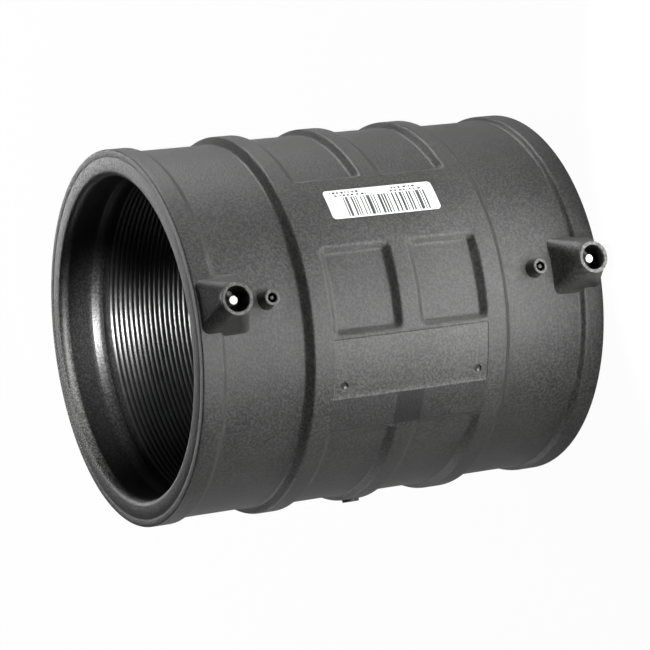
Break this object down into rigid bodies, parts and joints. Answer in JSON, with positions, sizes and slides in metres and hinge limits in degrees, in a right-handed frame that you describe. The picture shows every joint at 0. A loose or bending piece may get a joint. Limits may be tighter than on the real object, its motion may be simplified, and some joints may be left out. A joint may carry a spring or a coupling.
{
  "type": "electrofusion coupler",
  "caption": "Short ribbed tube with two pipe sockets, ridged heating windings inside, shrouded contact pins and pop-up fusion indicators on one side.",
  "frame": {"origin": "centre of the lower end face, on the pipe axis", "axes": "+Z along the pipe axis to the other end; -Y is the side that both terminals point to"},
  "size_m": [0.193, 0.207, 0.2225],
  "materials": {
    "black_polyethylene": "moulded with a fine grained surface",
    "coil_polyethylene": "smooth coating over the wound wire",
    "label_paper": "white printed label",
    "pin_metal": "bright tinned contact",
    "indicator_polyethylene": "moulded"
  },
  "bodies": {
    "coupler": {"coupler_body": "black_polyethylene", "heating_coil": "coil_polyethylene", "barcode_label": "label_paper", "upper_terminal_pin": "pin_metal", "lower_terminal_pin": "pin_metal"},
    "upper_indicator": {"upper_fusion_indicator": "indicator_polyethylene"},
    "lower_indicator": {"lower_fusion_indicator": "indicator_polyethylene"}
  },
  "joints": [
    {"name": "upper_indicator_rise", "type": "slide", "parent": "coupler", "child": "upper_indicator", "axis": [0, -1, 0], "range_m": [0, 0.003]},
    {"name": "lower_indicator_rise", "type": "slide", "parent": "coupler", "child": "lower_indicator", "axis": [0, -1, 0], "range_m": [0, 0.003]}
  ]
}
